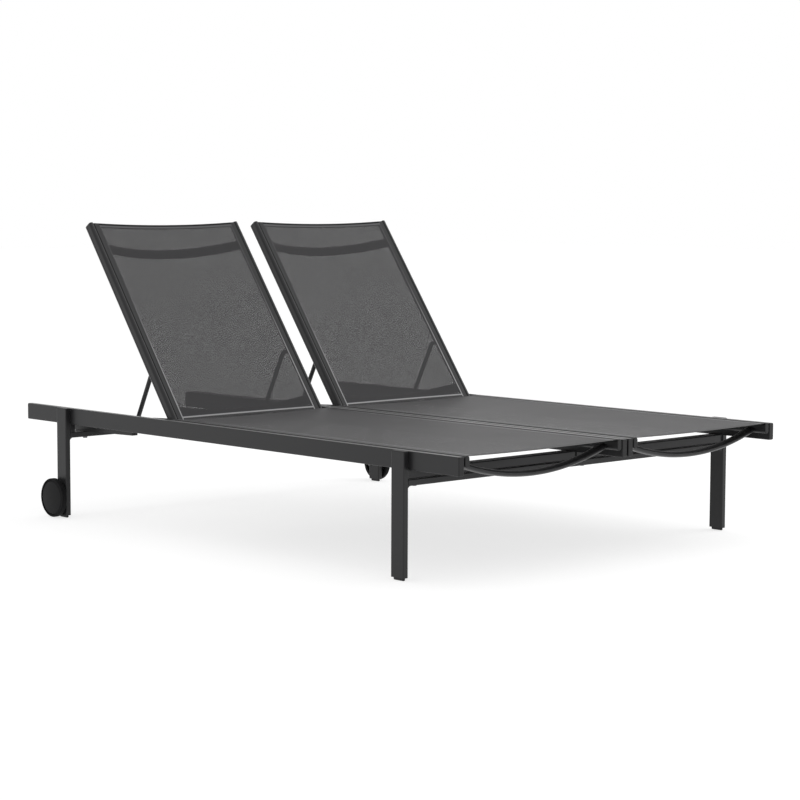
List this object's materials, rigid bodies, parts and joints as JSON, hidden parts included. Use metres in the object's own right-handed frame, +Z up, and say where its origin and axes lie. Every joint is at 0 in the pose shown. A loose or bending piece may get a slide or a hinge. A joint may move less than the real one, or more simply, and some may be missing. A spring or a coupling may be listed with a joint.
{
  "type": "double chaise lounger",
  "caption": "Side-by-side sling chaise loungers sharing one low frame, with separately reclining backs propped by folding bails on notched racks, and wheels at the head end.",
  "frame": {"origin": "middle of the footprint, on the floor", "axes": "+X to the right seen from the foot end, +Y towards the head end, +Z up"},
  "size_m": [1.428, 2, 0.9424],
  "materials": {
    "frame": "charcoal powder coat",
    "mesh": "woven vinyl-coated polyester mesh",
    "spline": "extruded cord",
    "black_plastic": "moulded, fine matt",
    "steel": "stainless",
    "wheel": "moulded, satin",
    "tyre": "matt"
  },
  "bodies": {
    "frame": {"axle_bolts": "steel", "foot_cross_tube": "frame", "frame_bolts": "steel", "head_cross_tube": "frame", "head_risers": "black_plastic", "hinge_bolts_and_washers": "steel", "left_centre_rack": "frame", "left_centre_rail": "frame", "left_centre_seat_rail": "frame", "left_foot_leg": "frame", "left_foot_spreader": "frame", "left_foot_stretcher": "frame", "left_head_leg": "frame", "left_outer_rack": "frame", "left_outer_rail": "frame", "left_outer_seat_rail": "frame", "left_rear_spreader": "frame", "left_seat_sling": "mesh", "leg_glides": "black_plastic", "leg_top_caps": "black_plastic", "rack_end_caps": "black_plastic", "rail_end_caps": "black_plastic", "right_centre_rack": "frame", "right_centre_rail": "frame", "right_centre_seat_rail": "frame", "right_foot_leg": "frame", "right_foot_spreader": "frame", "right_foot_stretcher": "frame", "right_head_leg": "frame", "right_outer_rack": "frame", "right_outer_rail": "frame", "right_outer_seat_rail": "frame", "right_rear_spreader": "frame", "right_seat_sling": "mesh", "seat_rail_bolts": "steel", "seat_rail_caps": "black_plastic", "seat_rail_spacers": "black_plastic", "seat_sling_splines": "spline", "wheel_spacers": "black_plastic"},
    "left_back": {"left_back_inner_rail": "frame", "left_back_outer_rail": "frame", "left_back_rail_caps": "black_plastic", "left_back_sling": "mesh", "left_back_sling_splines": "spline", "left_lower_back_spreader": "frame", "left_upper_back_spreader": "frame"},
    "right_back": {"right_back_inner_rail": "frame", "right_back_outer_rail": "frame", "right_back_rail_caps": "black_plastic", "right_back_sling": "mesh", "right_back_sling_splines": "spline", "right_lower_back_spreader": "frame", "right_upper_back_spreader": "frame"},
    "left_prop": {"left_prop_bail": "frame"},
    "right_prop": {"right_prop_bail": "frame"},
    "left_wheel_body": {"left_tyre": "tyre", "left_wheel": "wheel"},
    "right_wheel_body": {"right_tyre": "tyre", "right_wheel": "wheel"}
  },
  "joints": [
    {"name": "left_back_recline", "type": "hinge", "parent": "frame", "child": "left_back", "pos_m": [-0.3355, 0.2687, 0.3365], "axis": [1, 0, 0], "range_deg": [-53.9, 0]},
    {"name": "left_prop_fold", "type": "hinge", "parent": "left_back", "child": "left_prop", "pos_m": [-0.3355, 0.40557, 0.5242], "axis": [1, 0, 0], "range_deg": [0, 117.28]},
    {"name": "left_wheel_spin", "type": "hinge", "parent": "frame", "child": "left_wheel_body", "pos_m": [-0.704, 0.804, 0.0635], "axis": [1, 0, 0], "continuous": true},
    {"name": "right_back_recline", "type": "hinge", "parent": "frame", "child": "right_back", "pos_m": [0.3355, 0.2687, 0.3365], "axis": [1, 0, 0], "range_deg": [-53.9, 0]},
    {"name": "right_prop_fold", "type": "hinge", "parent": "right_back", "child": "right_prop", "pos_m": [0.3355, 0.40557, 0.5242], "axis": [1, 0, 0], "range_deg": [0, 117.28]},
    {"name": "right_wheel_spin", "type": "hinge", "parent": "frame", "child": "right_wheel_body", "pos_m": [0.704, 0.804, 0.0635], "axis": [1, 0, 0], "continuous": true}
  ],
  "couplings": [
    {"joint": "left_prop_fold", "follows": "left_back_recline", "ratio": -2.1749},
    {"joint": "right_prop_fold", "follows": "right_back_recline", "ratio": -2.1749}
  ]
}
